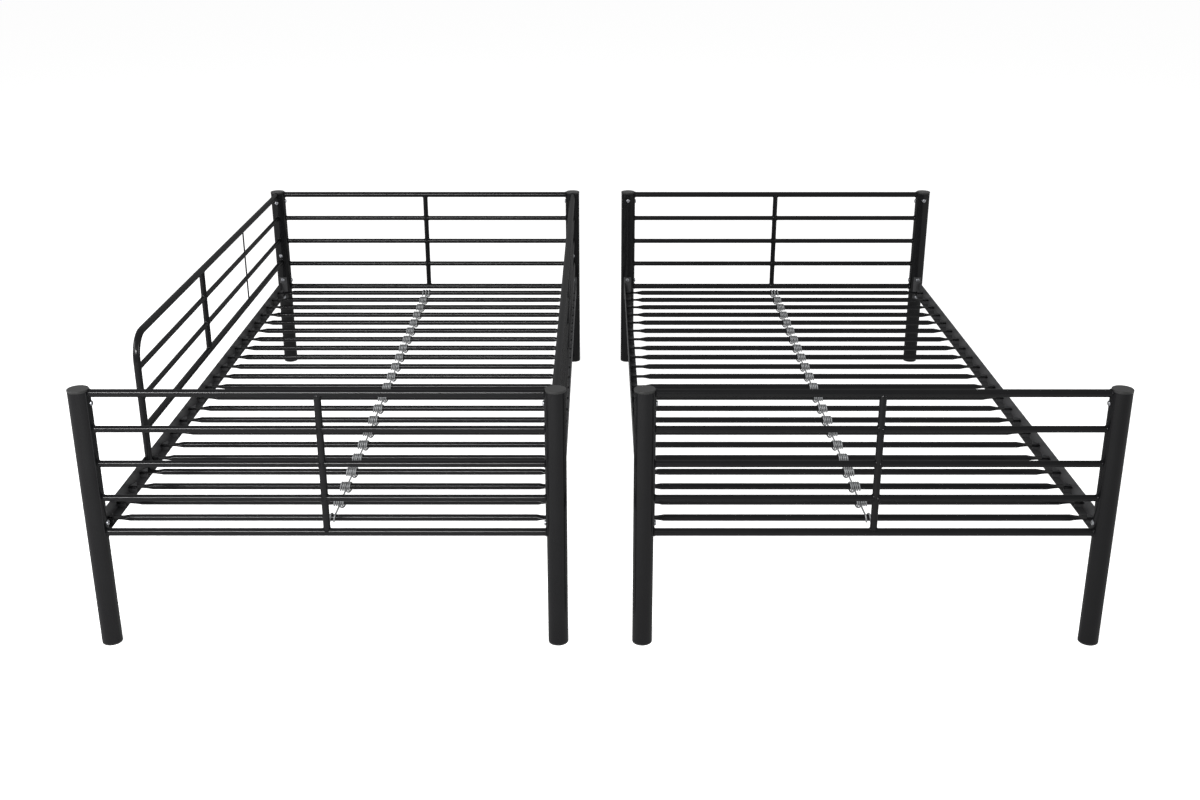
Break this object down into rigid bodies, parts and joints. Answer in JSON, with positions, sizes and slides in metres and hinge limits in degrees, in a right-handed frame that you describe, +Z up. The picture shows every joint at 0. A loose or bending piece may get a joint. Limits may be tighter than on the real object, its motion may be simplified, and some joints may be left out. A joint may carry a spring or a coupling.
{
  "type": "metal bunk bed",
  "caption": "Black tube-steel bunk bed taken apart into its single beds side by side, with slat bases, barred head and foot boards, and guard rails on the upper bunk.",
  "frame": {"origin": "on the floor, midway between the beds and midway along them", "axes": "+X across the beds, from the upper bunk with its guard rails to the lower bunk; +Y along the beds, towards the headboards; +Z up"},
  "size_m": [2.24, 1.9882, 0.605],
  "materials": {
    "black_powder_coated_steel": "satin black powder coat",
    "black_plastic": "matt moulded plastic",
    "zinc_plated_steel": "bright zinc plate",
    "galvanised_wire": "dull galvanised"
  },
  "bodies": {
    "lower_bunk": {"lower_board_bolts": "zinc_plated_steel", "lower_foot_left_post": "black_powder_coated_steel", "lower_foot_right_post": "black_powder_coated_steel", "lower_footboard_bars": "black_powder_coated_steel", "lower_footboard_bottom_tube": "black_powder_coated_steel", "lower_footboard_end_strips": "black_powder_coated_steel", "lower_footboard_top_tube": "black_powder_coated_steel", "lower_footboard_upright": "black_powder_coated_steel", "lower_head_left_post": "black_powder_coated_steel", "lower_head_right_post": "black_powder_coated_steel", "lower_headboard_bars": "black_powder_coated_steel", "lower_headboard_bottom_tube": "black_powder_coated_steel", "lower_headboard_end_strips": "black_powder_coated_steel", "lower_headboard_top_tube": "black_powder_coated_steel", "lower_headboard_upright": "black_powder_coated_steel", "lower_left_rail": "black_powder_coated_steel", "lower_post_foot_caps": "black_plastic", "lower_post_top_caps": "black_plastic", "lower_rail_bolts": "zinc_plated_steel", "lower_rail_brackets": "black_powder_coated_steel", "lower_right_rail": "black_powder_coated_steel", "lower_slat_ties": "galvanised_wire", "lower_slats": "black_powder_coated_steel", "lower_spare_bolts": "zinc_plated_steel"},
    "upper_bunk": {"guard_bolts": "zinc_plated_steel", "guard_end_strips": "black_powder_coated_steel", "guard_rods": "black_powder_coated_steel", "long_guard_bars": "black_powder_coated_steel", "long_guard_bottom_tube": "black_powder_coated_steel", "long_guard_top_tube": "black_powder_coated_steel", "long_guard_upright": "black_powder_coated_steel", "short_guard_bars": "black_powder_coated_steel", "short_guard_bottom_tube": "black_powder_coated_steel", "short_guard_hoop": "black_powder_coated_steel", "short_guard_upright": "black_powder_coated_steel", "upper_board_bolts": "zinc_plated_steel", "upper_foot_left_post": "black_powder_coated_steel", "upper_foot_right_post": "black_powder_coated_steel", "upper_footboard_bars": "black_powder_coated_steel", "upper_footboard_bottom_tube": "black_powder_coated_steel", "upper_footboard_end_strips": "black_powder_coated_steel", "upper_footboard_top_tube": "black_powder_coated_steel", "upper_footboard_upright": "black_powder_coated_steel", "upper_head_left_post": "black_powder_coated_steel", "upper_head_right_post": "black_powder_coated_steel", "upper_headboard_bars": "black_powder_coated_steel", "upper_headboard_bottom_tube": "black_powder_coated_steel", "upper_headboard_end_strips": "black_powder_coated_steel", "upper_headboard_top_tube": "black_powder_coated_steel", "upper_headboard_upright": "black_powder_coated_steel", "upper_left_rail": "black_powder_coated_steel", "upper_post_foot_caps": "black_plastic", "upper_post_top_caps": "black_plastic", "upper_rail_bolts": "zinc_plated_steel", "upper_rail_brackets": "black_powder_coated_steel", "upper_right_rail": "black_powder_coated_steel", "upper_slat_ties": "galvanised_wire", "upper_slats": "black_powder_coated_steel"}
  },
  "joints": [
    {"name": "bed_spacing", "type": "slide", "parent": "lower_bunk", "child": "upper_bunk", "axis": [1, 0, 0], "range_m": [-0.5, 0.14]}
  ]
}
